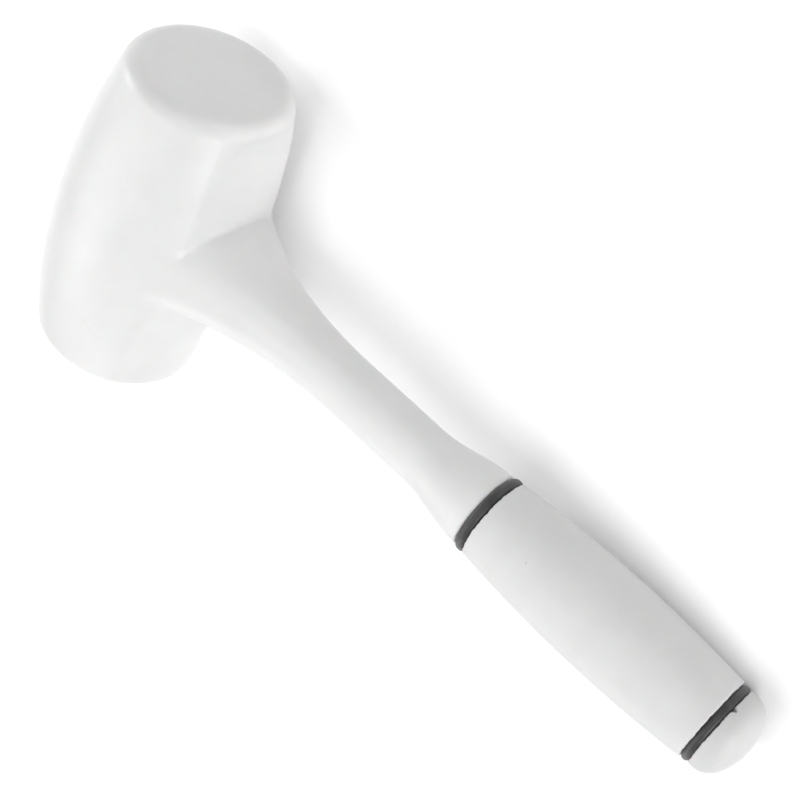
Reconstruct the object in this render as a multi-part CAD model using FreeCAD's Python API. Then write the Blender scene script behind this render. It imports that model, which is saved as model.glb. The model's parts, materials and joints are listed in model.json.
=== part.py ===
import FreeCAD, Part
import math
import os

# A percussion (reflex) hammer lying on its side, in millimetres.
#
# Building frame: X runs down the handle from the head's centre to the end cap, Y runs along the
# head towards its upper strike face, and Z is up.  A "station" is a distance along X from the
# head's centre.  The finished hammer is tilted about Y until head and grip rest on z = 0.

# Head: a crowned barrel with two slanted flats on the handle's side.
HEAD_UPPER = 45.0  # handle axis to the upper strike face
HEAD_LOWER = 42.7  # handle axis to the lower strike face
BARREL_RADIUS = 26.05
STRIKE_CORNER_RADIUS = 20.8  # barrel radius at a strike face, before its rim is rounded
RIM_ROUND = 3.8
UPPER_FLAT_STATION = 20.9  # where each flat would cross the handle axis
UPPER_FLAT_SLOPE = 0.071
LOWER_FLAT_STATION = 21.6
LOWER_FLAT_SLOPE = 0.225
UPPER_BAND_START = 34.5  # the upper flat runs out in a round band below the upper rim
UPPER_BAND_RADIUS = 18.5  # level with the flat where the band starts
LOWER_BAND_START = 10.0  # the lower flat's band is a longer cone that narrows to its rim
LOWER_BAND_RADIUS = 22.6

# Neck: as wide as the head at its root, round at its waist, flared again at its lower end.
WAIST_RADIUS = 7.6
NECK_ROOT_STATION = 10.4
NECK_WAIST_STATION = 68.0
NECK_FLARE_STATION = 92.0
NECK_END_STATION = 112.65
NECK_END_RADIUS = 10.4
ROOT_EXTRA_WIDTH = 15.7  # half width at the root, beyond the waist's radius
ROOT_EXTRA_DEPTH = 6.6  # the same along the head
ROOT_UPPER_SQUARENESS = 4.6  # added to an ellipse's exponent of 2
ROOT_LOWER_SQUARENESS = 1.4
ROOT_SECTIONS = 10
WAIST_SECTIONS = 2
FLARE_SECTIONS = 6
SECTION_POINTS = 32

# Grip, rings and end cap.
UPPER_RING_WIDTH = 2.7
GRIP_LENGTH = 67.9
LOWER_RING_WIDTH = 2.2
GRIP_UPPER_RADIUS = 10.8
GRIP_MIDDLE_RADIUS = 12.6
GRIP_LOWER_RADIUS = 11.15
GRIP_EDGE_ROUND = 0.4
UPPER_RING_RADIUS = 10.9
LOWER_RING_RADIUS = 11.0
CAP_RADIUS = 10.85
CAP_LAND = 1.4
CAP_LENGTH = 8.5
CAP_EDGE_ROUND = 0.4
CAP_SHOULDER = 5.8  # radius of the dome's shoulder, which its flatter crown is tangent to

# Core of the head: two cups around a steel weight.
CUP_RADIUS = 12.5
CUP_LENGTH = 33.0
CUP_FLOOR = 3.0
CUP_EDGE_ROUND = 2.0
WEIGHT_RADIUS = 9.0
WEIGHT_HALF_LENGTH = 16.0
CUSHION_THICKNESS = 1.5
CUP_HOLLOW_RADIUS = 7.0

# Handle rod, its pins, collar and clamping hardware.
ROD_RADIUS = 3.5
ROD_THREAD_RADIUS = 2.5
ROD_CHAMFER = 0.5
CROSS_PIN_RADIUS = 1.5
COLLAR_PIN_RADIUS = 1.0
PIN_BORE_SHARE = 0.55  # a spring pin's bore against its outside
PIN_SLIT = 0.4
BUSH_RADIUS = 5.5
BUSH_FLANGE_RADIUS = 7.5
BUSH_FLANGE = 1.5
BUSH_OUTER_STATION = 16.0
COLLAR_HUB_RADIUS = 6.0
COLLAR_FLANGE_RADIUS = 8.4
COLLAR_LENGTH = 13.0
COLLAR_FLANGE = 2.0
CORE_RADIUS = 8.4
RIB_COUNT = 6
RIB_WIDTH = 2.0
RIB_HEIGHT = 0.8
RIB_MARGIN = 4.0  # the ribs stop short of both ends of the grip
NUT_WELL_RADIUS = 6.0
NUT_WELL_STATION = 160.0
WASHER_THICKNESS = 1.0
WASHER_RADIUS = 5.2
SPRING_WASHER_THICKNESS = 1.2
SPRING_WASHER_RADIUS = 4.6
SPRING_WASHER_SLIT = 0.8
NUT_ACROSS_FLATS = 8.0
NUT_THICKNESS = 4.0
ROD_PAST_NUT = 1.8

# Screwed joint of the end cap.
INSERT_RADIUS = 7.2
INSERT_LENGTH = 11.0
THREAD_RADIUS = 6.0
THREAD_CLEARANCE = 0.05
STUD_LENGTH = 9.0  # from the cap's face to the stud's tip
STUD_PLAIN_LENGTH = 2.6
STUD_BORE_RADIUS = 3.6
STUD_CHAMFER = 0.8
STUD_NECK_RADIUS = 5.4
STUD_KEY_ACROSS_FLATS = 14.0
STUD_KEY_THICKNESS = 2.4
RING_CLEARANCE = 0.2

# Stations that follow from the sizes above.
GRIP_START = NECK_END_STATION + UPPER_RING_WIDTH
GRIP_END = GRIP_START + GRIP_LENGTH
CAP_START = GRIP_END + LOWER_RING_WIDTH
CAP_TIP = CAP_START + CAP_LENGTH
COLLAR_START = NECK_END_STATION - COLLAR_LENGTH
COLLAR_FLANGE_START = NECK_END_STATION - COLLAR_FLANGE
COLLAR_PIN_STATION = (COLLAR_START + COLLAR_FLANGE_START) / 2
SPRING_WASHER_START = NUT_WELL_STATION + WASHER_THICKNESS
NUT_START = SPRING_WASHER_START + SPRING_WASHER_THICKNESS
NUT_END = NUT_START + NUT_THICKNESS
ROD_END = NUT_END + ROD_PAST_NUT
ROD_START = -math.sqrt(WEIGHT_RADIUS ** 2 - ROD_RADIUS ** 2)
INSERT_START = GRIP_END - INSERT_LENGTH
STUD_TIP = CAP_START - STUD_LENGTH
CUSHION_END = WEIGHT_HALF_LENGTH + CUSHION_THICKNESS

ALONG_HANDLE = FreeCAD.Vector(1, 0, 0)
ALONG_HEAD = FreeCAD.Vector(0, 1, 0)
UPWARD = FreeCAD.Vector(0, 0, 1)
CENTRE = FreeCAD.Vector(0, 0, 0)
REACH = 80.0  # longer than any cutting tool needs to be
TINY = 0.01  # how near an edge lies to the plane that it is picked by


def cylinder(radius, start, end):
    """A cylinder on the handle axis between two stations."""
    return Part.makeCylinder(radius, end - start, FreeCAD.Vector(start, 0, 0), ALONG_HANDLE)


def turned(edges, axis):
    """The solid swept by a closed flat outline turned about an axis through the head's centre."""
    face = Part.Face(Part.Wire(edges))
    solid = face.revolve(CENTRE, axis, 360)
    return Part.Solid(solid) if solid.ShapeType == "Shell" else solid


def open_line(points):
    """The straight edges that join (x, y) points in turn."""
    corners = [FreeCAD.Vector(x, y, 0) for x, y in points]
    return [Part.makeLine(a, b) for a, b in zip(corners, corners[1:])]


def closed_line(points):
    """The straight edges of a closed outline of (x, y) points."""
    return open_line(points + points[:1])


def arc_through(start, middle, end):
    """An arc through three (x, y) points."""
    return Part.Arc(*(FreeCAD.Vector(x, y, 0) for x, y in (start, middle, end))).toShape()


def hex_prism(across_flats, start, end):
    """A six-sided prism on the handle axis."""
    corner_radius = across_flats / math.sqrt(3)
    angles = [math.radians(60 * side) for side in range(6)]
    corners = [
        FreeCAD.Vector(start, corner_radius * math.cos(a), corner_radius * math.sin(a)) for a in angles
    ]
    face = Part.Face(Part.makePolygon(corners + corners[:1]))
    return face.extrude(ALONG_HANDLE * (end - start))


def barrel():
    """The crowned head with sharp rims, before the flats are cut."""
    middle = (HEAD_UPPER - HEAD_LOWER) / 2
    lower = (STRIKE_CORNER_RADIUS, -HEAD_LOWER)
    upper = (STRIKE_CORNER_RADIUS, HEAD_UPPER)
    side = arc_through(lower, (BARREL_RADIUS, middle), upper)
    return turned([side] + open_line([upper, (0, HEAD_UPPER), (0, -HEAD_LOWER), lower]), ALONG_HEAD)


def flat_cutter(station, slope, side):
    """What is cut away beyond one slanted flat; side is 1 for the upper half and -1 for the lower."""
    far = side * REACH
    corners = [(station, 0), (station - slope * REACH, far), (REACH, far), (REACH, 0)]
    face = Part.Face(Part.Wire(closed_line(corners)))
    cutter = face.extrude(UPWARD * 2 * REACH)
    cutter.translate(UPWARD * -REACH)
    return cutter


def rim_band(start, start_radius, end):
    """A round band between a flat and a strike face's corner."""
    corners = [(0, start), (start_radius, start), (STRIKE_CORNER_RADIUS, end), (0, end)]
    return turned(closed_line(corners), ALONG_HEAD)


def flatted_barrel():
    """The head with its two flats, and with the edges of both strike faces rounded."""
    solid = barrel().cut(flat_cutter(UPPER_FLAT_STATION, UPPER_FLAT_SLOPE, 1))
    solid = solid.cut(flat_cutter(LOWER_FLAT_STATION, LOWER_FLAT_SLOPE, -1))
    upper_band = rim_band(UPPER_BAND_START, UPPER_BAND_RADIUS, HEAD_UPPER)
    lower_band = rim_band(-LOWER_BAND_START, LOWER_BAND_RADIUS, -HEAD_LOWER)
    solid = solid.multiFuse([upper_band, lower_band]).removeSplitter()
    rims = [e for e in solid.Edges if e.BoundBox.YLength < TINY and e.BoundBox.YMin > HEAD_UPPER - TINY]
    rims += [e for e in solid.Edges if e.BoundBox.YMax < TINY - HEAD_LOWER]
    return solid.makeFillet(RIM_ROUND, rims)


def neck_section(station):
    """A closed section of the neck: squarish at the root, round from the waist down."""
    share = max(0, (NECK_WAIST_STATION - station) / (NECK_WAIST_STATION - NECK_ROOT_STATION))
    growth = share ** 2
    flared = max(0, (station - NECK_FLARE_STATION) / (NECK_END_STATION - NECK_FLARE_STATION))
    radius = WAIST_RADIUS + (NECK_END_RADIUS - WAIST_RADIUS) * (1 - math.cos(math.pi * flared)) / 2
    half_width = radius + ROOT_EXTRA_WIDTH * growth
    half_depth = radius + ROOT_EXTRA_DEPTH * growth
    points = []
    for step in range(SECTION_POINTS):
        angle = 2 * math.pi * step / SECTION_POINTS
        across, along = math.cos(angle), math.sin(angle)
        extra = ROOT_UPPER_SQUARENESS if along > 0 else ROOT_LOWER_SQUARENESS
        power = 2 + extra * growth ** 2
        size = (abs(across / half_width) ** power + abs(along / half_depth) ** power) ** (-1 / power)
        points.append(FreeCAD.Vector(station, size * along, size * across))
    curve = Part.BSplineCurve()
    curve.interpolate(points, PeriodicFlag=True)
    return Part.Wire(curve.toShape())


def evenly(start, end, steps):
    """Stations that divide a stretch into equal steps, without the last one."""
    return [start + (end - start) * step / steps for step in range(steps)]


def neck():
    """The neck from inside the head to its flared lower end."""
    stations = evenly(NECK_ROOT_STATION, NECK_WAIST_STATION, ROOT_SECTIONS)
    stations += evenly(NECK_WAIST_STATION, NECK_FLARE_STATION, WAIST_SECTIONS)
    stations += evenly(NECK_FLARE_STATION, NECK_END_STATION, FLARE_SECTIONS) + [NECK_END_STATION]
    return Part.makeLoft([neck_section(station) for station in stations], True, False)


def core_envelope():
    """Everything that the head's moulding is cast around."""
    cups = cup_blank(1).fuse(cup_blank(-1))
    rod = cylinder(ROD_RADIUS, 0, NECK_END_STATION)
    return cups.multiFuse([rod, bush_blank(), collar_blank()])


def head_cover():
    """The soft one-piece moulding of head and neck."""
    return flatted_barrel().fuse(neck()).cut(core_envelope())


def cup_blank(side):
    """The outside of one half of the core; side is 1 for the upper half and -1 for the lower."""
    blank = Part.makeCylinder(CUP_RADIUS, CUP_LENGTH, CENTRE, ALONG_HEAD * side)
    rim = [e for e in blank.Edges if e.Closed and abs(e.BoundBox.Center.y) > CUP_LENGTH / 2]
    return blank.makeFillet(CUP_EDGE_ROUND, rim)


def core_cup(side):
    """Half of the rigid core: a cup that holds one end of the weight, with a lightening hollow."""
    direction = ALONG_HEAD * side
    pocket = Part.makeCylinder(WEIGHT_RADIUS, CUSHION_END, CENTRE, direction)
    hollow = Part.makeCylinder(CUP_HOLLOW_RADIUS, CUP_LENGTH - CUP_FLOOR, CENTRE, direction)
    return cup_blank(side).cut(pocket).cut(hollow).cut(bush_blank()).cut(cylinder(ROD_RADIUS, 0, REACH))


def head_weight():
    """The steel weight, cross-bored for the rod and for its pin."""
    ends = ALONG_HEAD * -WEIGHT_HALF_LENGTH
    blank = Part.makeCylinder(WEIGHT_RADIUS, 2 * WEIGHT_HALF_LENGTH, ends, ALONG_HEAD)
    return blank.cut(cylinder(ROD_RADIUS, -REACH, REACH)).cut(pin_hole(0, CROSS_PIN_RADIUS))


def weight_cushion(side):
    """A rubber disc between one end of the weight and its cup, which stops it knocking."""
    start = ALONG_HEAD * (side * WEIGHT_HALF_LENGTH)
    disc = Part.makeCylinder(WEIGHT_RADIUS, CUSHION_THICKNESS, start, ALONG_HEAD * side)
    return disc.cut(Part.makeCylinder(CUP_HOLLOW_RADIUS / 2, CUSHION_THICKNESS, start, ALONG_HEAD * side))


def pin_hole(station, radius):
    """A hole straight up through the handle axis."""
    return Part.makeCylinder(radius, 2 * REACH, FreeCAD.Vector(station, 0, -REACH), UPWARD)


def spring_pin(station, radius, holder_radius):
    """A slit, hollow spring pin across the rod, just short of the round surface of what holds it."""
    half_length = math.sqrt(holder_radius ** 2 - radius ** 2)
    base = FreeCAD.Vector(station, 0, -half_length)
    pin = Part.makeCylinder(radius, 2 * half_length, base, UPWARD)
    bore = Part.makeCylinder(radius * PIN_BORE_SHARE, 2 * half_length, base, UPWARD)
    slit_corner = base + FreeCAD.Vector(0, -PIN_SLIT / 2, 0)
    slit = Part.makeBox(2 * radius, PIN_SLIT, 2 * half_length, slit_corner)
    return pin.cut(bore).cut(slit)


def rod_cross_pin():
    """The pin that locks the rod in the weight."""
    return spring_pin(0, CROSS_PIN_RADIUS, WEIGHT_RADIUS)


def collar_pin():
    """The pin that locks the neck's collar on the rod."""
    return spring_pin(COLLAR_PIN_STATION, COLLAR_PIN_RADIUS, COLLAR_HUB_RADIUS)


def handle_rod():
    """The light alloy rod from the weight to the nut inside the grip, thinned for its thread."""
    shank = cylinder(ROD_RADIUS, ROD_START, NUT_WELL_STATION)
    thread = cylinder(ROD_THREAD_RADIUS, NUT_WELL_STATION, ROD_END)
    tip = [e for e in thread.Edges if e.Closed and e.BoundBox.XMin > NUT_END]
    rod = shank.fuse(thread.makeChamfer(ROD_CHAMFER, tip))
    rod = rod.cut(pin_hole(0, CROSS_PIN_RADIUS))
    return rod.cut(pin_hole(COLLAR_PIN_STATION, COLLAR_PIN_RADIUS)).common(within_weight())


def within_weight():
    """Space that ends flush with the weight's far side and is open towards the cap."""
    round_end = Part.makeCylinder(WEIGHT_RADIUS, 2 * REACH, ALONG_HEAD * -REACH, ALONG_HEAD)
    return round_end.fuse(Part.makeBox(3 * REACH, REACH, REACH, FreeCAD.Vector(0, -REACH / 2, -REACH / 2)))


def bush_blank():
    """The outside of the bush where the rod enters the core."""
    flange_start = BUSH_OUTER_STATION - BUSH_FLANGE
    body = cylinder(BUSH_RADIUS, WEIGHT_RADIUS, flange_start)
    return body.fuse(cylinder(BUSH_FLANGE_RADIUS, flange_start, BUSH_OUTER_STATION))


def rod_seal_bush():
    """The flanged bush that closes the core around the rod."""
    return bush_blank().cut(cylinder(ROD_RADIUS, 0, REACH))


def collar_blank():
    """The outside of the collar at the neck's lower end."""
    hub = cylinder(COLLAR_HUB_RADIUS, COLLAR_START, COLLAR_FLANGE_START)
    return hub.fuse(cylinder(COLLAR_FLANGE_RADIUS, COLLAR_FLANGE_START, NECK_END_STATION))


def neck_collar():
    """The stiff collar inside the neck's end, against which the grip is clamped."""
    collar = collar_blank().cut(cylinder(ROD_RADIUS, 0, NECK_END_STATION))
    return collar.cut(pin_hole(COLLAR_PIN_STATION, COLLAR_PIN_RADIUS))


def seal_ring(start, width, inner_radius, outer_radius):
    """A rubber ring with a rounded outer edge."""
    ring = cylinder(outer_radius, start, start + width).cut(cylinder(inner_radius, start, start + width))
    outer_edges = [e for e in ring.Edges if e.Closed and e.BoundBox.YLength > 2 * outer_radius - width / 4]
    return ring.makeFillet(width * 0.3, outer_edges)


def upper_seal_ring():
    """The black ring between neck and grip."""
    return seal_ring(NECK_END_STATION, UPPER_RING_WIDTH, CORE_RADIUS, UPPER_RING_RADIUS)


def lower_seal_ring():
    """The black ring between grip and end cap, which comes away with the cap."""
    bore_radius = THREAD_RADIUS + RING_CLEARANCE
    return seal_ring(GRIP_END, LOWER_RING_WIDTH, bore_radius, LOWER_RING_RADIUS)


def core_blank():
    """The outside of the grip's core, with the ribs that stop the sleeve turning on it."""
    blank = cylinder(CORE_RADIUS, NECK_END_STATION, GRIP_END)
    rib_length = GRIP_LENGTH - 2 * RIB_MARGIN
    rib_corner = FreeCAD.Vector(GRIP_START + RIB_MARGIN, -RIB_WIDTH / 2, CORE_RADIUS - RIB_HEIGHT)
    rib = Part.makeBox(rib_length, RIB_WIDTH, 2 * RIB_HEIGHT, rib_corner)
    ribs = [rib.rotated(CENTRE, ALONG_HANDLE, 360 / RIB_COUNT * turn) for turn in range(RIB_COUNT)]
    return blank.multiFuse(ribs)


def grip_core():
    """The ribbed tube that carries the grip, bored for the rod, the nut and the cap's insert."""
    bored = core_blank().cut(cylinder(ROD_RADIUS, 0, NUT_WELL_STATION))
    bored = bored.cut(cylinder(NUT_WELL_RADIUS, NUT_WELL_STATION, GRIP_END))
    return bored.cut(cylinder(INSERT_RADIUS, INSERT_START, GRIP_END))


def grip_crown():
    """The arc of the sleeve's crowned side, as (station, radius)."""
    middle = ((GRIP_START + GRIP_END) / 2, GRIP_MIDDLE_RADIUS)
    return arc_through((GRIP_START, GRIP_UPPER_RADIUS), middle, (GRIP_END, GRIP_LOWER_RADIUS))


def grip_sleeve():
    """The crowned sleeve that the hand holds."""
    corners = [(GRIP_END, GRIP_LOWER_RADIUS), (GRIP_END, 0), (GRIP_START, 0)]
    corners += [(GRIP_START, GRIP_UPPER_RADIUS)]
    solid = turned([grip_crown()] + open_line(corners), ALONG_HANDLE)
    ends = [e for e in solid.Edges if e.Closed and e.BoundBox.XLength < GRIP_EDGE_ROUND]
    return solid.makeFillet(GRIP_EDGE_ROUND, ends).cut(core_blank())


def clamp_washer():
    """The washer that the nut pulls against the core."""
    blank = cylinder(WASHER_RADIUS, NUT_WELL_STATION, SPRING_WASHER_START)
    return blank.cut(cylinder(ROD_THREAD_RADIUS, 0, ROD_END))


def spring_washer():
    """The split washer that keeps the nut from working loose."""
    ring = cylinder(SPRING_WASHER_RADIUS, SPRING_WASHER_START, NUT_START)
    ring = ring.cut(cylinder(ROD_THREAD_RADIUS, 0, ROD_END))
    slit_corner = FreeCAD.Vector(SPRING_WASHER_START, -SPRING_WASHER_SLIT / 2, 0)
    slit = Part.makeBox(SPRING_WASHER_THICKNESS, SPRING_WASHER_SLIT, SPRING_WASHER_RADIUS, slit_corner)
    return ring.cut(slit)


def tension_nut():
    """The hexagon nut on the rod, with its corners turned down."""
    corner_radius = NUT_ACROSS_FLATS / math.sqrt(3)
    blank = hex_prism(NUT_ACROSS_FLATS, NUT_START, NUT_END)
    turned_down = cylinder(corner_radius, NUT_START, NUT_END)
    rims = [e for e in turned_down.Edges if e.Closed]
    turned_down = turned_down.makeChamfer(corner_radius - NUT_ACROSS_FLATS / 2, rims)
    return blank.common(turned_down).cut(cylinder(ROD_THREAD_RADIUS, 0, ROD_END))


def thread_insert():
    """The brass insert in the core's mouth that takes the cap's thread."""
    bore = cylinder(THREAD_RADIUS, INSERT_START, GRIP_END)
    return cylinder(INSERT_RADIUS, INSERT_START, GRIP_END).cut(bore)


def stud_key():
    """The six-sided end of the stud that is held in the cap."""
    return hex_prism(STUD_KEY_ACROSS_FLATS, CAP_START, CAP_START + STUD_KEY_THICKNESS)


def cap_stud():
    """The cap's hollow threaded stud, with a thinner plain neck under the cap's face."""
    thread_end = CAP_START - STUD_PLAIN_LENGTH
    thread = cylinder(THREAD_RADIUS - THREAD_CLEARANCE, STUD_TIP, thread_end)
    tip = [e for e in thread.Edges if e.Closed and e.BoundBox.XMax < thread_end - STUD_CHAMFER]
    thread = thread.makeChamfer(STUD_CHAMFER, tip)
    stud = thread.fuse(cylinder(STUD_NECK_RADIUS, thread_end, CAP_START)).fuse(stud_key())
    return stud.cut(cylinder(STUD_BORE_RADIUS, STUD_TIP, CAP_START))


def cap_dome():
    """The dome's outline: a shoulder arc and the flatter crown arc that it is tangent to."""
    land_end = CAP_START + CAP_LAND
    rise = CAP_LENGTH - CAP_LAND
    inset = CAP_RADIUS - CAP_SHOULDER
    crown = (rise ** 2 + inset ** 2 - CAP_SHOULDER ** 2) / (2 * (rise - CAP_SHOULDER))
    crown_centre = CAP_TIP - crown
    meeting_angle = math.atan2(inset, land_end - crown_centre)

    def on_arc(centre_x, centre_y, radius, angle):
        return (centre_x + radius * math.cos(angle), centre_y + radius * math.sin(angle))

    upright = math.pi / 2
    half_way = (upright + meeting_angle) / 2
    shoulder = [on_arc(land_end, inset, CAP_SHOULDER, a) for a in (upright, half_way, meeting_angle)]
    top = [on_arc(crown_centre, 0, crown, a) for a in (meeting_angle, meeting_angle / 2, 0)]
    return [arc_through(*shoulder), arc_through(*top)]


def end_cap():
    """The domed cap, bedded on the stud's key."""
    land_end = CAP_START + CAP_LAND
    sides = open_line([(CAP_TIP, 0), (CAP_START, 0), (CAP_START, CAP_RADIUS), (land_end, CAP_RADIUS)])
    solid = turned(cap_dome() + sides, ALONG_HANDLE)
    edge = [e for e in solid.Edges if e.Closed and e.BoundBox.XMax < CAP_START + TINY]
    return solid.makeFillet(CAP_EDGE_ROUND, edge).cut(stud_key())


PARTS = {
    "head_cover": head_cover,
    "core_cup_upper": lambda: core_cup(1),
    "core_cup_lower": lambda: core_cup(-1),
    "head_weight": head_weight,
    "weight_cushion_upper": lambda: weight_cushion(1),
    "weight_cushion_lower": lambda: weight_cushion(-1),
    "rod_cross_pin": rod_cross_pin,
    "handle_rod": handle_rod,
    "rod_seal_bush": rod_seal_bush,
    "neck_collar": neck_collar,
    "collar_pin": collar_pin,
    "upper_seal_ring": upper_seal_ring,
    "grip_core": grip_core,
    "grip_sleeve": grip_sleeve,
    "clamp_washer": clamp_washer,
    "spring_washer": spring_washer,
    "tension_nut": tension_nut,
    "thread_insert": thread_insert,
    "lower_seal_ring": lower_seal_ring,
    "cap_stud": cap_stud,
    "end_cap": end_cap,
}


def resting_tilt():
    """Degrees that the handle slopes down so that the grip's crown reaches the floor under the head."""
    crown = grip_crown().Curve
    centre_distance = math.hypot(crown.Center.x, crown.Center.y)
    centre_angle = math.atan2(-crown.Center.y, crown.Center.x)
    return math.degrees(centre_angle + math.asin((BARREL_RADIUS - crown.Radius) / centre_distance))


def main():
    os.makedirs("parts", exist_ok=True)
    shapes = {name: make() for name, make in PARTS.items()}
    tilt = resting_tilt()
    for shape in shapes.values():
        shape.rotate(CENTRE, ALONG_HEAD, tilt)
    bounds = Part.makeCompound(list(shapes.values())).optimalBoundingBox(False, False)
    shift = FreeCAD.Vector(-bounds.Center.x, -bounds.Center.y, BARREL_RADIUS)
    for name, shape in shapes.items():
        shape.translate(shift)
        shape.exportStep(f"parts/{name}.step")
        print(f"{name:22} valid {shape.isValid()} solids {len(shape.Solids)} {shape.Volume:10.1f} mm3")
    print("tilt", round(tilt, 4), "shift", [round(v, 4) for v in shift])
    print("bounds", bounds)


main()
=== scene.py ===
import itertools
import json
import math

import bpy
import numpy as np
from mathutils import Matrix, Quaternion, Vector


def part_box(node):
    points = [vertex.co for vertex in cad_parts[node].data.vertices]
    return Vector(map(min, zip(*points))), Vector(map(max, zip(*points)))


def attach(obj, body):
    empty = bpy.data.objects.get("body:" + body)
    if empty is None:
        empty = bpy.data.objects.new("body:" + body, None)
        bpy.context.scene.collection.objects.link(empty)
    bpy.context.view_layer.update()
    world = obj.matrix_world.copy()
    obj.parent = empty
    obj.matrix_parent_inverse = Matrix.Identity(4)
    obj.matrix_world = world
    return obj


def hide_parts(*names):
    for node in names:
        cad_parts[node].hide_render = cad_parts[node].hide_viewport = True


# A white percussion hammer with black seal rings, lying on a white floor. Sizes are in metres.
#
# Shapes are worked out in the hammer's own directions: a "station" is a distance along the handle
# from the head's centre, "along" runs up the head, and "above" points away from the floor.
# to_row() turns such points into the row frame.

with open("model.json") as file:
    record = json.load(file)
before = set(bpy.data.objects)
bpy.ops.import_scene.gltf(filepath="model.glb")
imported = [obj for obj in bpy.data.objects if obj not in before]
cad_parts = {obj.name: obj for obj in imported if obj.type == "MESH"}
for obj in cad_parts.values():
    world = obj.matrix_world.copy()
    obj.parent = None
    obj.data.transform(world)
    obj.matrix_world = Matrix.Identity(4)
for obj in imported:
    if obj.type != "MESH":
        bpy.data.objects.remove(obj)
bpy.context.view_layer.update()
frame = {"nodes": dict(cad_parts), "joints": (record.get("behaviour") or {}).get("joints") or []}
joints = {joint["name"]: joint for joint in frame["joints"]}


def middle(node):
    """The centre of a CAD node's box."""
    low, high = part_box(node)
    return (low + high) / 2


CENTRE = middle("head_weight")
HANDLE = Vector(joints["cap_turn"]["axis"]).normalized()
ALONG = Vector((0, 1, 0))
ABOVE = HANDLE.cross(ALONG)
DIRECTIONS = np.array([HANDLE, ALONG, ABOVE])
TILT = math.asin(-HANDLE.z)


def to_row(points):
    """Points given as (station, along, above), in the row frame."""
    return np.asarray(points) @ DIRECTIONS + np.array(CENTRE)


def reach(node):
    """A CAD node's first and last station, and its greatest distance from the handle's axis."""
    points = np.array([v.co for v in frame["nodes"][node].data.vertices]) - np.array(CENTRE)
    station, along, above = (points @ DIRECTIONS.T).T
    return station.min(), station.max(), np.hypot(along, above).max()


# Head: a crowned barrel with two slanted flats on the handle's side.
HEAD_LOWER = CENTRE.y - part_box("head_cover")[0].y
HEAD_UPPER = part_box("head_cover")[1].y - CENTRE.y
BARREL_RADIUS = CENTRE.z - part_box("head_cover")[0].z
STRIKE_CORNER_RADIUS = 0.0208
RIM_ROUND = 0.0038
UPPER_FLAT = (0.0209, 0.071)  # the station where it would cross the handle, and its slope
LOWER_FLAT = (0.0216, 0.225)
TURN_START = 0.0345  # from this height the upper flat turns round towards its rim
TURN_SLANT = 0.2  # its start rises by this much per metre above the handle
TURN_LINE_DEPTH = 0.00016  # of the faint line where it starts
TURN_LINE_WIDTH = 0.0005
LOWER_BAND_START = 0.010  # the lower flat runs out in a longer cone that narrows to its rim
LOWER_BAND_RADIUS = 0.0226
RIDGE_ROUND = 0.001  # along the edges between the flats and the barrel
RIDGE_FADE = 0.8  # share of it that is gone at a rim
RIDGE_FADE_START = 0.75  # share of the rim's height from which it fades
LOWER_BAND_ROUND = 0.0045  # between the lower flat and its cone

# Neck: nearly as wide as the head at its root, round at its waist, flared at its end.
WAIST_RADIUS = 0.0076
NECK_ROOT = 0.0104
NECK_WAIST = 0.068
NECK_FLARE = 0.092
NECK_END = reach("head_cover")[1]
NECK_END_RADIUS = 0.0104
ROOT_EXTRA_WIDTH = 0.0157
ROOT_EXTRA_DEPTH = 0.0066
ROOT_UPPER_SQUARENESS = 4.6  # how far the root's section is from an oval
ROOT_LOWER_SQUARENESS = 1.4
ROOT_SINK_START = 0.018  # from here inwards the neck narrows into the head
ROOT_SINK = 50.0  # by this times the square of the distance
CREASE_ROUND = 0.0012  # where the neck runs into the head
LIP_ROUND = 0.0006  # at the neck's end
COVER_PITCH = 0.0006  # size of the cover's mesh
FOLD_START = -0.001  # two faint folds cross the barrel's top, from this station
FOLD_END = 0.012
FOLD_HEIGHT = 0.020  # how far along the head they start, each side of the handle
FOLD_RISES = (0.007, 0.006)  # how far the upper and the lower one run outwards
FOLD_BOWS = (0.001, -0.001)  # how far each bends outwards at its middle
FOLD_DEPTH = 0.00013
FOLD_WIDTH = 0.00055

# Core that the cover is moulded around.
CUP_RADIUS = 0.0125
CUP_LENGTH = 0.033
CUP_EDGE_ROUND = 0.002
ROD_RADIUS = 0.0035
COLLAR_HUB_RADIUS = 0.006
BUSH_FLANGE = 0.0015
COLLAR_FLANGE = 0.002

# Grip, rings and cap.
CORE_RADIUS = 0.0084
RIB_COUNT = 6
RIB_HEIGHT = 0.0008
RIB_MARGIN = 0.004
RIB_CHANNEL = math.radians(7.6)  # half the angle of the channel that takes a rib
GRIP_UPPER_RADIUS = 0.0108
GRIP_MIDDLE_RADIUS = 0.0126
GRIP_LOWER_RADIUS = 0.01115
GRIP_EDGE_ROUND = 0.0004
RAGGED = 0.00004  # how far the moulded ends wander
CAP_RADIUS = 0.01085
CAP_LAND = 0.0014  # straight length of the cap's side
CAP_SHOULDER = 0.0058
CAP_EDGE_ROUND = 0.0004
NICK_ANGLE = math.radians(20)  # a small nick in the cap's edge, turned this far from the head's upper end
NICK_WIDTH = math.radians(4.5)
NICK_DEPTH = 0.0009
THREAD_PITCH = 0.0015
THREAD_DEPTH = 0.0005
THREAD_STEPS = 14  # profile points in one pitch
STUD_THREAD_RADIUS = 0.00595
STUD_NECK_RADIUS = 0.0054
STUD_PLAIN_LENGTH = 0.0026
STUD_BORE_RADIUS = 0.0036
STUD_CHAMFER = 0.0008
KEY_ACROSS_FLATS = 0.014
KEY_THICKNESS = 0.0024
KEY_STAND_IN = 0.0071  # the profile radius that the key's six sides replace
INSERT_THREAD_RADIUS = 0.006
INSERT_CHAMFER = 0.0006
RING_EDGE_SHARE = 0.46  # of a ring's width, rounded at each outer edge
LOWER_RING_BORE = 0.0062

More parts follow.
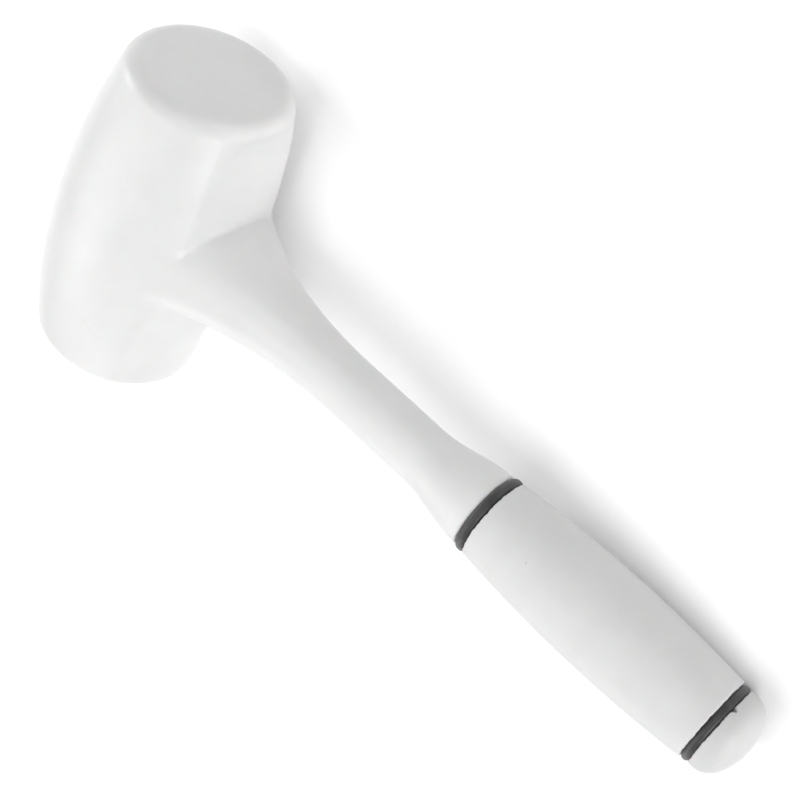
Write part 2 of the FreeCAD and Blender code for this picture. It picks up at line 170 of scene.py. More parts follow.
# Meshes.
TURNS = 240  # steps around the handle
CORE_STEPS = 96
CORNER_STEPS = 5
CROWN_STEPS = 64
SHOULDER_STEPS = 24
DOME_STEPS = 40
SETTLE_ROUNDS = 12
SHARP_ANGLE = math.radians(38)

# Stretches of a material's marks, as (along the handle, up the head, away from the floor).
AROUND_HANDLE = (0.04, 1, 1)
AROUND_HEAD = (1, 0.04, 1)
ALONG_HANDLE = (6, 1, 1)

# Floor, light and camera.
FLOOR_HALF = 0.65
FLOOR_GLOW = 0.08  # the floor gives off a little light, which keeps shadows pale
LAMP_DISTANCE = 1.2
SKY_STRENGTH = 0.07
BACKDROP_STRENGTH = 1.0  # the sky seen past the floor's edge is plain white
LAMPS = {  # azimuth (0 from +X, 90 from +Y) and elevation in degrees, size in metres, power in watts
    "above": (0, 90, 0.8, 5.0),
    "handle_side": (0, 20, 0.8, 10.4),
    "upper_side": (90, 45, 0.8, 4.25),
    "lower_side": (-90, 20, 0.8, 3.9),
    "behind_head": (180, 25, 0.5, 5.6),
    "behind_lower": (-135, 45, 0.8, 4.8),
}
CAMERA_AZIMUTH = 152.77
CAMERA_ELEVATION = 43.71
CAMERA_ROLL = 114.79
CAMERA_DISTANCE = 0.45029
CAMERA_LENS = 85.594
CAMERA_AIM = Vector((-0.00325, 0.0072, 0.02))
CAMERA_SENSOR = 36


# ---- Mesh helpers ----------------------------------------------------------------------------


def make_piece(name, points, faces, material, body, slot, *nodes):
    """A smooth closed piece that rides on a body and stands for CAD nodes.

    Its points are in the row frame.
    """
    mesh = bpy.data.meshes.new(name)
    mesh.from_pydata(np.asarray(points).tolist(), [], np.asarray(faces, dtype=object).tolist())
    mesh.validate()
    mesh.shade_smooth()
    mesh.set_sharp_from_angle(angle=SHARP_ANGLE)
    mesh.materials.append(material)
    piece = bpy.data.objects.new(name, mesh)
    bpy.context.scene.collection.objects.link(piece)
    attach(piece, body)
    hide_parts(*nodes)
    return piece


def arc(centre, radius, start, end, steps):
    """Points on an arc in a profile, from one angle in degrees to another."""
    angles = np.radians(np.linspace(start, end, steps + 1))
    return [(centre[0] + radius * math.cos(a), centre[1] + radius * math.sin(a)) for a in angles]


def arc_by_three(start, mid, end, steps):
    """Points on the arc through three profile points."""
    (ax, ay), (bx, by), (cx, cy) = start, mid, end
    d = 2 * (ax * (by - cy) + bx * (cy - ay) + cx * (ay - by))
    squares = [ax * ax + ay * ay, bx * bx + by * by, cx * cx + cy * cy]
    centre_x = (squares[0] * (by - cy) + squares[1] * (cy - ay) + squares[2] * (ay - by)) / d
    centre_y = (squares[0] * (cx - bx) + squares[1] * (ax - cx) + squares[2] * (bx - ax)) / d
    angles = [math.degrees(math.atan2(y - centre_y, x - centre_x)) for x, y in (start, end)]
    return arc((centre_x, centre_y), math.hypot(ax - centre_x, ay - centre_y), *angles, steps)


def soften(before, corner, after, radius):
    """The points that round off one corner of a profile."""
    before, corner, after = (np.array(p) for p in (before, corner, after))
    one, two = before - corner, after - corner
    one, two = one / np.linalg.norm(one), two / np.linalg.norm(two)
    half = math.acos(np.clip(one @ two, -1, 1)) / 2
    start = corner + one * radius / math.tan(half)
    centre = corner + (one + two) / np.linalg.norm(one + two) * radius / math.sin(half)
    spread = math.pi - 2 * half
    first = start - centre
    side = corner - centre - first * ((corner - centre) @ first) / (first @ first)
    side = side / np.linalg.norm(side) * radius
    turns = [spread * step / CORNER_STEPS for step in range(CORNER_STEPS + 1)]
    return [tuple(centre + first * math.cos(t) + side * math.sin(t)) for t in turns]


def profile(*corners):
    """A profile's points from (station, radius, rounding) corners; rounding 0 leaves a corner as it is."""
    points = []
    for index, (station, radius, rounding) in enumerate(corners):
        if rounding:
            before, after = corners[index - 1][:2], corners[(index + 1) % len(corners)][:2]
            points += soften(before, (station, radius), after, rounding)
        else:
            points.append((station, radius))
    return points


def plain(points):
    """Profile points with no rounding of their own."""
    return [(station, radius, 0) for station, radius in points]


def lathe(points, closed=True, steps=TURNS, bend=None):
    """A profile of (station, radius) points turned about the handle: its points and faces.

    A closed profile makes a ring; an open one starts and ends on the axis. bend(angle, station, radius)
    may change the stations and radii around the turn.
    """
    stations, radii = np.array(points).T
    angles = np.arange(steps) * 2 * math.pi / steps
    angle, station = np.meshgrid(angles, stations)
    radius = np.repeat(radii[:, None], steps, 1)
    if bend:
        station, radius = bend(angle, station, radius)
    solid = np.stack([station, radius * np.cos(angle), radius * np.sin(angle)], -1).reshape(-1, 3)
    row_count = len(points)
    faces = []
    rows = range(row_count) if closed else range(1, row_count - 2)
    for row in rows:
        after = (row + 1) % row_count
        for step in range(steps):
            turn = (step + 1) % steps
            faces.append((row * steps + step, row * steps + turn, after * steps + turn, after * steps + step))
    if not closed:
        last = (row_count - 2) * steps
        for step in range(steps):
            turn = (step + 1) % steps
            faces.append((0, steps + turn, steps + step))
            faces.append((last + steps, last + step, last + turn))
        kept = np.ones(len(solid), bool)
        kept[1:steps] = False
        kept[last + steps + 1:] = False
        number = np.cumsum(kept) - 1
        solid = solid[kept]
        faces = [tuple(int(number[corner]) for corner in face) for face in faces]
    return solid, outward(solid, faces)


def outward(points, faces):
    """The faces, turned round if the closed mesh they make is inside out."""
    volume = 0.0
    for size in {len(face) for face in faces}:
        corners = points[np.array([face for face in faces if len(face) == size])]
        for second in range(1, size - 1):
            across = np.cross(corners[:, second], corners[:, second + 1])
            volume += (corners[:, 0] * across).sum()
    return faces if volume > 0 else [face[::-1] for face in faces]


# ---- Smooth surfaces from a distance field ---------------------------------------------------


def rounded_cut(a, b, radius):
    """What two solids share, with the edge between them rounded."""
    corner = np.hypot(np.maximum(radius + a, 0), np.maximum(radius + b, 0))
    return np.minimum(-radius, np.maximum(a, b)) + corner


def rounded_join(a, b, radius):
    """Two solids together, with the crease between them filled."""
    corner = np.hypot(np.maximum(radius - a, 0), np.maximum(radius - b, 0))
    return np.maximum(radius, np.minimum(a, b)) - corner


def smooth_step(value, start, end):
    """0 before start, 1 after end, and a smooth rise between."""
    share = np.clip((value - start) / (end - start), 0, 1)
    return share * share * (3 - 2 * share)


def surface_cells(field, low, high, pitch):
    """A closed quad mesh near field = 0: a point in each grid cell that the surface crosses."""
    margin = 2 * pitch
    axes = [np.arange(a - margin, b + margin + pitch, pitch) for a, b in zip(low, high)]
    shape = np.array([len(a) for a in axes])
    grid = np.stack(np.meshgrid(*axes, indexing="ij"), -1).reshape(-1, 3)
    inside = (field(grid) < 0).reshape(shape)
    count = np.zeros(shape - 1, int)
    for i, j, k in itertools.product((0, 1), repeat=3):
        count += inside[i:shape[0] - 1 + i, j:shape[1] - 1 + j, k:shape[2] - 1 + k]
    mixed = (count > 0) & (count < 8)
    number = np.full(mixed.shape, -1)
    number[mixed] = np.arange(mixed.sum())
    origin = np.array([a[0] for a in axes])
    points = origin + (np.argwhere(mixed) + 0.5) * pitch
    quads = []
    for axis in range(3):
        one, two = np.eye(3, dtype=int)[[(axis + 1) % 3, (axis + 2) % 3]]
        ends = np.split(np.arange(shape[axis]), [shape[axis] - 1])[0]
        first, second = inside.take(ends, axis), inside.take(ends + 1, axis)
        at = np.argwhere(first != second)
        around = [number[tuple(cell.T)] for cell in (at - one - two, at - two, at, at - one)]
        quad = np.stack(around, 1)
        leaving = first[tuple(at.T)]
        quads += [quad[leaving], quad[~leaving][:, ::-1]]
    return points, np.concatenate(quads)


def project(field, points, rounds):
    """Points moved straight onto field = 0."""
    step = 1e-5
    for _ in range(rounds):
        slope = np.empty_like(points)
        for axis in range(3):
            nudge = np.zeros(3)
            nudge[axis] = step
            slope[:, axis] = (field(points + nudge) - field(points - nudge)) / (2 * step)
        points = points - slope * (field(points) / (slope ** 2).sum(1))[:, None]
    return points


def settle(field, points, quads, rounds):
    """Evens out a mesh's spacing while keeping it on field = 0."""
    pull = 0.6  # how far a point moves towards its neighbours' average in one round
    pairs = np.concatenate([quads[:, [0, 1]], quads[:, [1, 2]], quads[:, [2, 3]], quads[:, [3, 0]]])
    pairs = np.unique(np.sort(pairs, 1), axis=0)
    ends = np.concatenate([pairs, pairs[:, ::-1]])
    count = np.bincount(ends[:, 0], minlength=len(points))
    points = project(field, points, 3)
    for _ in range(rounds):
        sums = [np.bincount(ends[:, 0], points[ends[:, 1], axis], len(points)) for axis in range(3)]
        average = np.stack(sums, 1) / count[:, None]
        points = project(field, points + pull * (average - points), 1)
    return project(field, points, 2)


# ---- The head's cover ------------------------------------------------------------------------


def barrel_field(station, along, above):
    """Distance to the crowned barrel's side."""
    centre = (HEAD_UPPER - HEAD_LOWER) / 2
    half = (HEAD_UPPER + HEAD_LOWER) / 2
    drop = BARREL_RADIUS - STRIKE_CORNER_RADIUS
    side_radius = (half ** 2 + drop ** 2) / (2 * drop)
    out = np.hypot(station, above) + side_radius - BARREL_RADIUS
    return np.hypot(out, along - centre) - side_radius


def flat_field(station, along, flat):
    """Distance beyond one slanted flat."""
    crossing, slope = flat
    return (station - crossing + slope * np.abs(along)) / math.hypot(1, slope)


def upper_side_field(station, along, above):
    """Distance to the upper flat, which turns round towards its rim from a faint slanted line on."""
    start = TURN_START + TURN_SLANT * above
    turned = smooth_step(along, start, HEAD_UPPER)
    line = TURN_LINE_DEPTH * np.exp(-((along - start) / TURN_LINE_WIDTH) ** 2)
    round_side = np.hypot(station, above) - STRIKE_CORNER_RADIUS
    return flat_field(station, along, UPPER_FLAT) * (1 - turned) + round_side * turned + line


def lower_side_field(station, along, above):
    """Distance to the lower flat and the cone it runs out in."""
    growth = (STRIKE_CORNER_RADIUS - LOWER_BAND_RADIUS) / (HEAD_LOWER - LOWER_BAND_START)
    out = np.hypot(station, above) - LOWER_BAND_RADIUS + growth * (along + LOWER_BAND_START)
    cone = np.maximum(out, along + LOWER_BAND_START)
    return rounded_join(flat_field(station, along, LOWER_FLAT), cone, LOWER_BAND_ROUND)


def head_field(station, along, above):
    """Distance to the head, with its rims and ridges rounded."""
    upper = upper_side_field(station, along, above)
    flats = np.where(along > 0, upper, lower_side_field(station, along, above))
    rim_height = np.where(along > 0, HEAD_UPPER, HEAD_LOWER)
    fade = smooth_step(np.abs(along), RIDGE_FADE_START * rim_height, rim_height)
    ridge = RIDGE_ROUND * (1 - RIDGE_FADE * fade)
    head = rounded_cut(barrel_field(station, along, above), flats, ridge)
    return rounded_cut(head, np.maximum(along - HEAD_UPPER, -along - HEAD_LOWER), RIM_ROUND)


def neck_field(station, along, above):
    """Distance to the neck: squarish at its root, round from the waist down."""
    share = np.clip((NECK_WAIST - station) / (NECK_WAIST - NECK_ROOT), 0, 1)
    growth = share ** 2
    flared = np.clip((station - NECK_FLARE) / (NECK_END - NECK_FLARE), 0, 1)
    radius = WAIST_RADIUS + (NECK_END_RADIUS - WAIST_RADIUS) * (1 - np.cos(math.pi * flared)) / 2
    half_width = radius + ROOT_EXTRA_WIDTH * growth
    half_depth = radius + ROOT_EXTRA_DEPTH * growth
    out = np.maximum(np.hypot(along, above), 1e-6)
    squareness = np.where(along > 0, ROOT_UPPER_SQUARENESS, ROOT_LOWER_SQUARENESS)
    power = 2 + squareness * growth ** 2
    across = np.abs(above) / out / half_width
    up = np.abs(along) / out / half_depth
    sunk = ROOT_SINK * np.maximum(ROOT_SINK_START - station, 0) ** 2
    side = out - (across ** power + up ** power) ** (-1 / power) + sunk
    side = np.maximum(side, -station)
    return rounded_cut(side, station - NECK_END, LIP_ROUND)


def fold_depth(station, along, above):
    """How far the faint folds sink the surface."""
    share = np.clip((station - FOLD_START) / (FOLD_END - FOLD_START), 0, 1)
    swell = 4 * share * (1 - share)
    rise = np.where(along > 0, *FOLD_RISES)
    bow = np.where(along > 0, *FOLD_BOWS)
    gap = np.abs(along) - FOLD_HEIGHT - rise * share - bow * swell
    return np.where(above > 0, FOLD_DEPTH * swell * np.exp(-(gap / FOLD_WIDTH) ** 2), 0)


def cover_field(points):
    """Distance to the whole cover of head and neck."""
    station, along, above = points.T
    cover = rounded_join(head_field(station, along, above), neck_field(station, along, above), CREASE_ROUND)
    return cover + fold_depth(station, along, above)


def cut_out(piece, *cutters):
    """Cuts closed shapes, each given as points and faces, from a piece."""
    for points, faces in cutters:
        mesh = bpy.data.meshes.new("cutter")
        mesh.from_pydata(to_row(points).tolist(), [], faces)
        cutter = bpy.data.objects.new("cutter", mesh)
        bpy.context.scene.collection.objects.link(cutter)
        cut = piece.modifiers.new("cut", "BOOLEAN")
        cut.operation = "DIFFERENCE"
        cut.solver = "MANIFOLD"
        cut.object = cutter
        bpy.context.view_layer.update()
        cut_piece = piece.evaluated_get(bpy.context.evaluated_depsgraph_get())
        result = bpy.data.meshes.new_from_object(cut_piece)
        piece.modifiers.clear()
        piece.data = result
        bpy.data.objects.remove(cutter)


def core_shapes():
    """The shapes that the cover is moulded around: the core's cups, then rod, bush and collar."""
    bush_start, bush_end, bush_radius = reach("rod_seal_bush")
    collar_start, collar_end, collar_radius = reach("neck_collar")
    cups = profile(
        (-CUP_LENGTH, 0, 0), (-CUP_LENGTH, CUP_RADIUS, CUP_EDGE_ROUND),
        (CUP_LENGTH, CUP_RADIUS, CUP_EDGE_ROUND), (CUP_LENGTH, 0, 0),
    )
    points, faces = lathe(cups, closed=False, steps=CORE_STEPS)
    along_head = points[:, [1, 0, 2]] * [1, 1, -1]
    bush_face = bush_end - BUSH_FLANGE
    collar_face = collar_end - COLLAR_FLANGE
    past_end = collar_end + COLLAR_FLANGE
    hardware = [
        (bush_start, 0), (bush_start, ROD_RADIUS), (bush_face, ROD_RADIUS), (bush_face, bush_radius),
        (bush_end, bush_radius), (bush_end, ROD_RADIUS), (collar_start, ROD_RADIUS),
        (collar_start, COLLAR_HUB_RADIUS), (collar_face, COLLAR_HUB_RADIUS), (collar_face, collar_radius),
        (past_end, collar_radius), (past_end, 0),
    ]
    return (along_head, faces), lathe(hardware, closed=False, steps=CORE_STEPS)


def make_head_cover(material):
    """The soft moulding of head and neck."""
    low = (-BARREL_RADIUS, -HEAD_LOWER, -BARREL_RADIUS)
    high = (NECK_END, HEAD_UPPER, BARREL_RADIUS)
    points, quads = surface_cells(cover_field, low, high, COVER_PITCH)
    points = settle(cover_field, points, quads, SETTLE_ROUNDS)
    cover = make_piece(
        "cover_head_and_neck", to_row(points), quads, material, "hammer", "white_elastomer", "head_cover"
    )
    cut_out(cover, *core_shapes())


# ---- Materials -------------------------------------------------------------------------------


class Finish:
    """A node material under construction, with its textures laid out in the part's own space."""

    def __init__(self, name, colour, roughness, metallic=0.0):
        self.material = bpy.data.materials.new(name)
        self.material.use_nodes = True
        self.tree = self.material.node_tree
        self.shader = self.tree.nodes["Principled BSDF"]
        self.shader.inputs["Base Color"].default_value = (*colour, 1)
        self.shader.inputs["Roughness"].default_value = roughness
        self.shader.inputs["Metallic"].default_value = metallic
        self.space = self.tree.nodes.new("ShaderNodeTexCoord").outputs["Object"]
        self.relief = None

    def node(self, kind, **values):
        made = self.tree.nodes.new(kind)
        for key, value in values.items():
            setattr(made, key, value)
        return made

    def wire(self, output, socket):
        self.tree.links.new(output, socket)

    def noise(self, size, detail=3.0, stretch=(1, 1, 1), twist=0.0):
        """Noise whose features are about size metres across, stretched along the handle's directions."""
        place = self.node("ShaderNodeMapping")
        place.inputs["Rotation"].default_value = (0, -TILT, 0)
        place.inputs["Scale"].default_value = [1 / s for s in stretch]
        texture = self.node("ShaderNodeTexNoise")
        texture.inputs["Scale"].default_value = 1 / size
        texture.inputs["Detail"].default_value = detail
        texture.inputs["Distortion"].default_value = twist
        self.wire(self.space, place.inputs["Vector"])
        self.wire(place.outputs["Vector"], texture.inputs["Vector"])
        return texture.outputs["Fac"]

    def spread(self, value, low, high, start=0.3, end=0.7):
        """A value carried from one range to another."""
        ramp = self.node("ShaderNodeMapRange")
        for name, number in (("From Min", start), ("From Max", end), ("To Min", low), ("To Max", high)):
            ramp.inputs[name].default_value = number
        self.wire(value, ramp.inputs["Value"])
        return ramp.outputs["Result"]

    def colour_by(self, value, first, second):
        """Base colour between two colours, by a value from 0 to 1."""
        mix = self.node("ShaderNodeMix", data_type="RGBA")
        mix.inputs["A"].default_value = (*first, 1)
        mix.inputs["B"].default_value = (*second, 1)
        self.wire(value, mix.inputs["Factor"])
        self.wire(mix.outputs["Result"], self.shader.inputs["Base Color"])
        return mix.outputs["Result"]

    def speckle(self, colour, size, share, dark):
        """Scattered darker specks over a colour."""
        dots = self.node("ShaderNodeTexVoronoi")
        dots.inputs["Scale"].default_value = 1 / size
        self.wire(self.space, dots.inputs["Vector"])
        near = self.spread(dots.outputs["Distance"], 1, 0, share * 0.6, share)
        mix = self.node("ShaderNodeMix", data_type="RGBA")
        mix.inputs["B"].default_value = (*dark, 1)
        self.wire(near, mix.inputs["Factor"])
        self.wire(colour, mix.inputs["A"])
        self.wire(mix.outputs["Result"], self.shader.inputs["Base Color"])

    def roughen(self, value, low, high):
        self.wire(self.spread(value, low, high), self.shader.inputs["Roughness"])

    def raise_by(self, value, height):
        """Adds relief of a height in metres."""
        bump = self.node("ShaderNodeBump")
        bump.inputs["Strength"].default_value = 1
        bump.inputs["Distance"].default_value = height
        self.wire(value, bump.inputs["Height"])
        if self.relief:
            self.wire(self.relief, bump.inputs["Normal"])
        self.relief = bump.outputs["Normal"]
        self.wire(self.relief, self.shader.inputs["Normal"])


def grey(level):
    return (level, level, level)


def elastomer():
    """Satin white moulded elastomer with a fine leathery grain."""
    look = Finish("white_elastomer", grey(0.695), 0.36)
    look.shader.inputs["Subsurface Weight"].default_value = 0.12
    look.shader.inputs["Subsurface Scale"].default_value = 0.002
    look.shader.inputs["Specular IOR Level"].default_value = 0.42
    grain = look.noise(0.0006, 4)
    look.colour_by(look.spread(look.noise(0.011, 3), 0, 1), grey(0.685), grey(0.71))
    look.roughen(grain, 0.32, 0.45)
    look.raise_by(grain, 0.000018)
    look.raise_by(look.noise(0.006, 2), 0.00006)
    return look.material


def grip_rubber():
    """White grip rubber, slightly rougher, with stray dark specks."""
    look = Finish("white_grip_rubber", grey(0.64), 0.5)
    look.shader.inputs["Subsurface Weight"].default_value = 0.1
    look.shader.inputs["Subsurface Scale"].default_value = 0.002
    look.shader.inputs["Specular IOR Level"].default_value = 0.4
    grain = look.noise(0.0007, 4)
    colour = look.colour_by(look.spread(look.noise(0.009, 3), 0, 1), grey(0.63), grey(0.655))
    look.speckle(colour, 0.0085, 0.03, grey(0.35))
    look.roughen(grain, 0.42, 0.58)
    look.raise_by(grain, 0.00003)
    return look.material


def cap_plastic():
    """Matte white moulded plastic."""
    look = Finish("white_cap_plastic", grey(0.58), 0.55)
    look.shader.inputs["Subsurface Weight"].default_value = 0.08
    look.shader.inputs["Subsurface Scale"].default_value = 0.002
    grain = look.noise(0.0005, 3)
    look.colour_by(look.spread(look.noise(0.008, 2), 0, 1), grey(0.57), grey(0.59))
    look.roughen(grain, 0.5, 0.64)
    look.raise_by(grain, 0.000015)
    return look.material


def black_rubber():
    """Soft black rubber with a dusty bloom."""
    look = Finish("black_ring_rubber", grey(0.03), 0.5)
    look.shader.inputs["Sheen Weight"].default_value = 0.15
    look.shader.inputs["Sheen Roughness"].default_value = 0.5
    grain = look.noise(0.0004, 3)
    look.colour_by(look.spread(look.noise(0.003, 3), 0, 1), grey(0.022), grey(0.04))
    look.roughen(grain, 0.38, 0.6)
    look.raise_by(grain, 0.00002)
    return look.material


def black_nylon():
    """Glass-filled black nylon with streaks along the flow of the moulding."""
    look = Finish("black_moulded_nylon", grey(0.025), 0.45)
    streaks = look.noise(0.0012, 4, stretch=ALONG_HANDLE)
    look.colour_by(look.spread(streaks, 0, 1), grey(0.018), grey(0.036))
    look.roughen(look.noise(0.0006, 3), 0.36, 0.58)
    look.raise_by(streaks, 0.00001)
    return look.material


def turned_metal(name, dark, light, low, high, stretch):
    """Metal with fine tool marks, drawn out by a stretch along the handle's directions."""
    look = Finish(name, light, low, metallic=1.0)
    marks = look.noise(0.004, 5, stretch=stretch)
    look.colour_by(look.spread(look.noise(0.005, 3), 0, 1), dark, light)
    look.roughen(marks, low, high)
    look.raise_by(marks, 0.000012)
    return look.material


looks = {
    "elastomer": elastomer(),
    "grip": grip_rubber(),
    "cap": cap_plastic(),
    "rubber": black_rubber(),
    "nylon": black_nylon(),
    "weight": turned_metal("turned_steel", grey(0.42), grey(0.56), 0.2, 0.38, AROUND_HEAD),
    "hardware": turned_metal("plated_steel", grey(0.5), grey(0.64), 0.18, 0.34, AROUND_HANDLE),
    "alloy": turned_metal("drawn_alloy", grey(0.66), grey(0.78), 0.25, 0.42, ALONG_HANDLE),
    "brass": turned_metal("brass", (0.6, 0.42, 0.16), (0.78, 0.57, 0.27), 0.2, 0.36, AROUND_HANDLE),
}

CARRIED_OVER = {
    "nylon": ["core_cup_upper", "core_cup_lower", "rod_seal_bush", "neck_collar", "grip_core"],
    "rubber": ["weight_cushion_upper", "weight_cushion_lower"],
    "weight": ["head_weight"],
    "hardware": ["rod_cross_pin", "collar_pin", "clamp_washer", "spring_washer", "tension_nut"],
    "alloy": ["handle_rod"],
}


def dress_cad_nodes():
    """Gives every CAD node that stays its material."""
    for look, nodes in CARRIED_OVER.items():
        for name in nodes:
            node = frame["nodes"][name]
            node.data.materials.clear()
            node.data.materials.append(looks[look])


# ---- Grip, rings and cap ---------------------------------------------------------------------


def ragged(angle):
    """How far a moulded end is set back at each angle: a small even part and a wander."""
    waves = ((7, 1.3), (17, 0.4), (29, 2.6), (43, 4.1))
    set_back = 3
    return RAGGED * sum(np.sin(count * angle + phase) for count, phase in waves) + set_back * RAGGED


def key_sides(angle):
    """The radius of the key's six-sided outline."""
    side = math.pi / 3
    return KEY_ACROSS_FLATS / 2 / np.cos((angle + side / 2) % side - side / 2)


def make_grip(material):
    """The crowned sleeve, with channels in its bore for the core's ribs."""
    start, end, _ = reach("grip_sleeve")
    middle_station = (start + end) / 2
    crown = arc_by_three(
        (start, GRIP_UPPER_RADIUS), (middle_station, GRIP_MIDDLE_RADIUS), (end, GRIP_LOWER_RADIUS),
        CROWN_STEPS,
    )
    rib_top = CORE_RADIUS + RIB_HEIGHT
    rib_start, rib_end = start + RIB_MARGIN, end - RIB_MARGIN
    bore = [(rib_end, CORE_RADIUS), (rib_end, rib_top), (rib_start, rib_top), (rib_start, CORE_RADIUS)]
    points = profile(
        (start, CORE_RADIUS, 0), (*crown[0], GRIP_EDGE_ROUND), *plain(crown[1:-1]),
        (*crown[-1], GRIP_EDGE_ROUND), (end, CORE_RADIUS, 0), *plain(bore),
    )

    def channels(angle, station, radius):
        turn = 2 * math.pi / RIB_COUNT
        off_rib = np.abs((angle + turn / 2) % turn - turn / 2) > RIB_CHANNEL
        filled = np.isclose(radius, rib_top) & off_rib
        depth = 3 * GRIP_EDGE_ROUND
        at_end = (radius > GRIP_UPPER_RADIUS - GRIP_EDGE_ROUND) * (
            smooth_step(-station, -start - depth, -start) - smooth_step(station, end - depth, end)
        )
        return station + at_end * ragged(angle), np.where(filled, CORE_RADIUS, radius)

    solid, faces = lathe(points, bend=channels)
    make_piece(
        "grip_rubber_sleeve", to_row(solid), faces, material, "hammer", "white_grip", "grip_sleeve"
    )


def make_ring(name, node, body, bore, material):
    """A rubber seal ring with a rounded outer edge."""
    start, end, radius = reach(node)
    edge = RING_EDGE_SHARE * (end - start)
    points = profile((start, bore, 0), (start, radius, edge), (end, radius, edge), (end, bore, 0))
    solid, faces = lathe(points)
    make_piece(name, to_row(solid), faces, material, body, "black_rubber", node)


def thread_wave(angle, station, start, end):
    """How deep a thread's groove is, from 0 at its crest to 1 at its root, run out at both ends."""
    steepness, crest = 1.5, 0.25
    turn = (station / THREAD_PITCH - angle / (2 * math.pi)) % 1
    groove = np.clip(steepness * (1 - np.abs(2 * turn - 1)) - crest, 0, 1)
    return groove * smooth_step(station, start, start + THREAD_PITCH / 2) * (
        1 - smooth_step(station, end - THREAD_PITCH / 2, end)
    )


def fine_stations(start, end, radius):
    """Profile points close enough together along a thread to follow its grooves."""
    count = round((end - start) / (THREAD_PITCH / THREAD_STEPS))
    return [(station, radius) for station in np.linspace(start, end, count)]


def make_stud(material):
    """The cap's threaded stud with its six-sided key."""
    tip, key_end, _ = reach("cap_stud")
    face = reach("end_cap")[0]
    key_radius = reach("thread_insert")[2]  # stands in for the key's six sides
    thread_end = face - STUD_PLAIN_LENGTH
    thread = fine_stations(tip + STUD_CHAMFER, thread_end, STUD_THREAD_RADIUS)
    points = [
        (face, 0), (face, STUD_BORE_RADIUS), (tip, STUD_BORE_RADIUS),
        (tip, STUD_THREAD_RADIUS - STUD_CHAMFER), *thread, (thread_end, STUD_NECK_RADIUS),
        (face, STUD_NECK_RADIUS), (face, key_radius), (key_end, key_radius), (key_end, 0),
    ]

    def shape(angle, station, radius):
        groove = THREAD_DEPTH * thread_wave(angle, station, tip + STUD_CHAMFER, thread_end)
        radius = radius - np.where(np.isclose(radius, STUD_THREAD_RADIUS), groove, 0)
        return station, np.where(np.isclose(radius, key_radius), key_sides(angle), radius)

    solid, faces = lathe(points, closed=False, bend=shape)
    make_piece("stud_threaded", to_row(solid), faces, material, "cap", "black_nylon", "cap_stud")


def make_insert(material):
    """The brass insert with the thread that takes the stud."""
    start, end, radius = reach("thread_insert")
    thread_start, thread_end = start + INSERT_CHAMFER, end - INSERT_CHAMFER
    mouth_radius = INSERT_THREAD_RADIUS + INSERT_CHAMFER
    edge = INSERT_CHAMFER / 3
    points = [
        (end - edge, radius), (start, radius), (start, mouth_radius),
        *fine_stations(thread_start, thread_end, INSERT_THREAD_RADIUS),
        (end, mouth_radius), (end, radius - edge),
    ]

    def shape(angle, station, radius):
        groove = THREAD_DEPTH * thread_wave(angle, station, thread_start, thread_end)
        return station, radius + np.where(np.isclose(radius, INSERT_THREAD_RADIUS), groove, 0)

    solid, faces = lathe(points, bend=shape)
    make_piece("insert_tapped", to_row(solid), faces, material, "hammer", "brass", "thread_insert")


def make_cap(material):
    """The domed cap, hollowed for the stud's key."""
    start, tip, _ = reach("end_cap")
    land_end = start + CAP_LAND
    rise = tip - land_end
    inset = CAP_RADIUS - CAP_SHOULDER
    crown = (rise ** 2 + inset ** 2 - CAP_SHOULDER ** 2) / (2 * (rise - CAP_SHOULDER))
    meeting = math.degrees(math.atan2(inset, land_end - tip + crown))
    shoulder = arc((land_end, inset), CAP_SHOULDER, 90, meeting, SHOULDER_STEPS)
    top = arc((tip - crown, 0), crown, meeting, 0, DOME_STEPS)
    pocket_floor = start + KEY_THICKNESS
    points = profile(
        (pocket_floor, 0, 0), (pocket_floor, KEY_STAND_IN, 0), (start, KEY_STAND_IN, 0),
        (start, CAP_RADIUS, CAP_EDGE_ROUND), *plain(shoulder), *plain(top[1:]),
    )

    def shape(angle, station, radius):
        steepness = 1.3  # over 1, so that the nick has a flat floor
        nick = np.clip(steepness * (1 - np.abs(angle - NICK_ANGLE) / NICK_WIDTH), 0, 1) * NICK_DEPTH
        edge = (radius > CAP_RADIUS - 2 * CAP_EDGE_ROUND) * smooth_step(-station, -land_end, -start)
        in_pocket = np.isclose(radius, KEY_STAND_IN)
        return station + edge * (nick + ragged(angle)), np.where(in_pocket, key_sides(angle), radius)

    solid, faces = lathe(points, closed=False, bend=shape)
    make_piece("cap_dome", to_row(solid), faces, material, "cap", "white_cap", "end_cap")


# ---- Setting: floor, light and camera --------------------------------------------------------


def make_floor():
    """A plain white floor."""
    mesh = bpy.data.meshes.new("floor")
    corners = [(x * FLOOR_HALF, y * FLOOR_HALF, 0) for x, y in ((-1, -1), (1, -1), (1, 1), (-1, 1))]
    mesh.from_pydata(corners, [], [(0, 1, 2, 3)])
    floor = bpy.data.objects.new("floor", mesh)
    bpy.context.scene.collection.objects.link(floor)
    look = Finish("floor_paper", grey(0.945), 0.8)
    look.shader.inputs["Specular IOR Level"].default_value = 0.1
    look.shader.inputs["Emission Color"].default_value = (1, 1, 1, 1)
    look.shader.inputs["Emission Strength"].default_value = FLOOR_GLOW
    look.colour_by(look.noise(0.05, 2), grey(0.94), grey(0.95))
    mesh.materials.append(look.material)


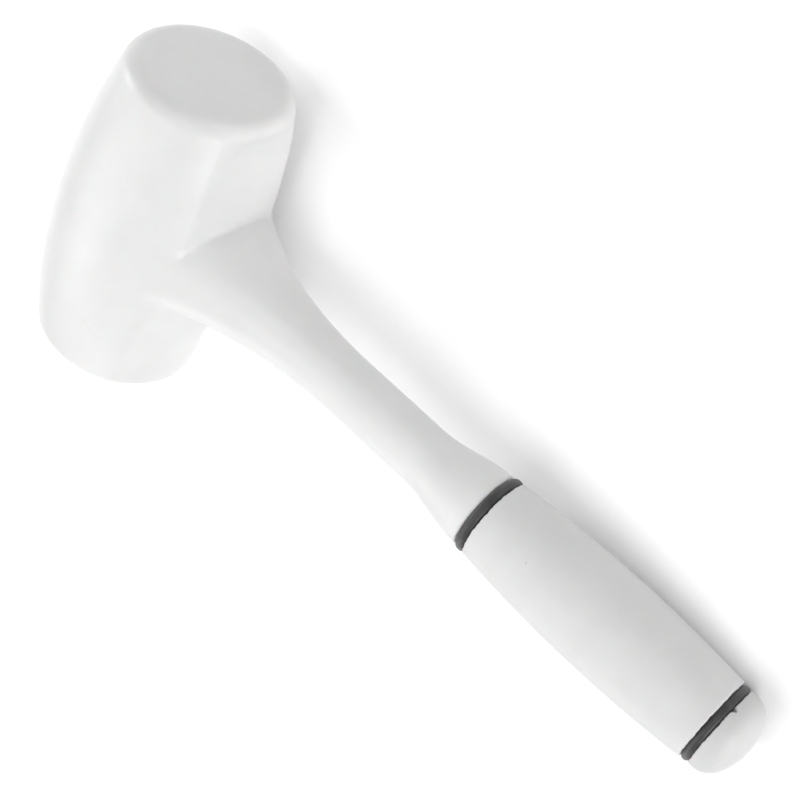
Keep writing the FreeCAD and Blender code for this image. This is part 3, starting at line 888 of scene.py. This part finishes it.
def make_lamp(name, azimuth, elevation, size, power):
    """A square soft light in one direction, aimed at the hammer."""
    turn, lift = math.radians(azimuth), math.radians(elevation)
    direction = Vector((math.cos(turn) * math.cos(lift), math.sin(turn) * math.cos(lift), math.sin(lift)))
    data = bpy.data.lights.new(name, "AREA")
    data.shape = "SQUARE"
    data.size = size
    data.energy = power
    lamp = bpy.data.objects.new(name, data)
    lamp.location = direction * LAMP_DISTANCE
    lamp.rotation_mode = "QUATERNION"
    lamp.rotation_quaternion = direction.to_track_quat("Z", "Y")
    bpy.context.scene.collection.objects.link(lamp)


def light_scene():
    """Soft light from all round, strongest from the handle's side."""
    world = bpy.data.worlds.new("studio")
    world.use_nodes = True
    sky = world.node_tree.nodes["Background"]
    sky.inputs["Color"].default_value = (1, 1, 1, 1)
    path = world.node_tree.nodes.new("ShaderNodeLightPath")
    strength = world.node_tree.nodes.new("ShaderNodeMapRange")
    strength.inputs["To Min"].default_value = SKY_STRENGTH
    strength.inputs["To Max"].default_value = BACKDROP_STRENGTH
    world.node_tree.links.new(path.outputs["Is Camera Ray"], strength.inputs["Value"])
    world.node_tree.links.new(strength.outputs["Result"], sky.inputs["Strength"])
    bpy.context.scene.world = world
    for name, lamp in LAMPS.items():
        make_lamp(name, *lamp)
    bpy.context.scene.view_settings.view_transform = "Standard"


def make_camera():
    """A camera above the head's upper end, rolled so that the handle runs down to the right."""
    azimuth, elevation = math.radians(CAMERA_AZIMUTH), math.radians(CAMERA_ELEVATION)
    level = Vector((math.sin(azimuth), -math.cos(azimuth), 0)) * math.cos(elevation)
    back = level + Vector((0, 0, math.sin(elevation)))
    data = bpy.data.cameras.new("camera")
    data.lens = CAMERA_LENS
    data.sensor_width = CAMERA_SENSOR
    camera = bpy.data.objects.new("camera", data)
    camera.location = CAMERA_AIM + back * CAMERA_DISTANCE
    camera.rotation_mode = "QUATERNION"
    roll = Quaternion((0, 0, 1), math.radians(-CAMERA_ROLL))
    camera.rotation_quaternion = (-back).to_track_quat("-Z", "Y") @ roll
    bpy.context.scene.collection.objects.link(camera)
    bpy.context.scene.camera = camera


make_camera()
light_scene()
make_floor()
dress_cad_nodes()
make_head_cover(looks["elastomer"])
make_grip(looks["grip"])
make_ring("ring_rubber_upper", "upper_seal_ring", "hammer", CORE_RADIUS, looks["rubber"])
make_ring("ring_rubber_lower", "lower_seal_ring", "ring", LOWER_RING_BORE, looks["rubber"])
make_insert(looks["brass"])
make_stud(looks["nylon"])
make_cap(looks["cap"])
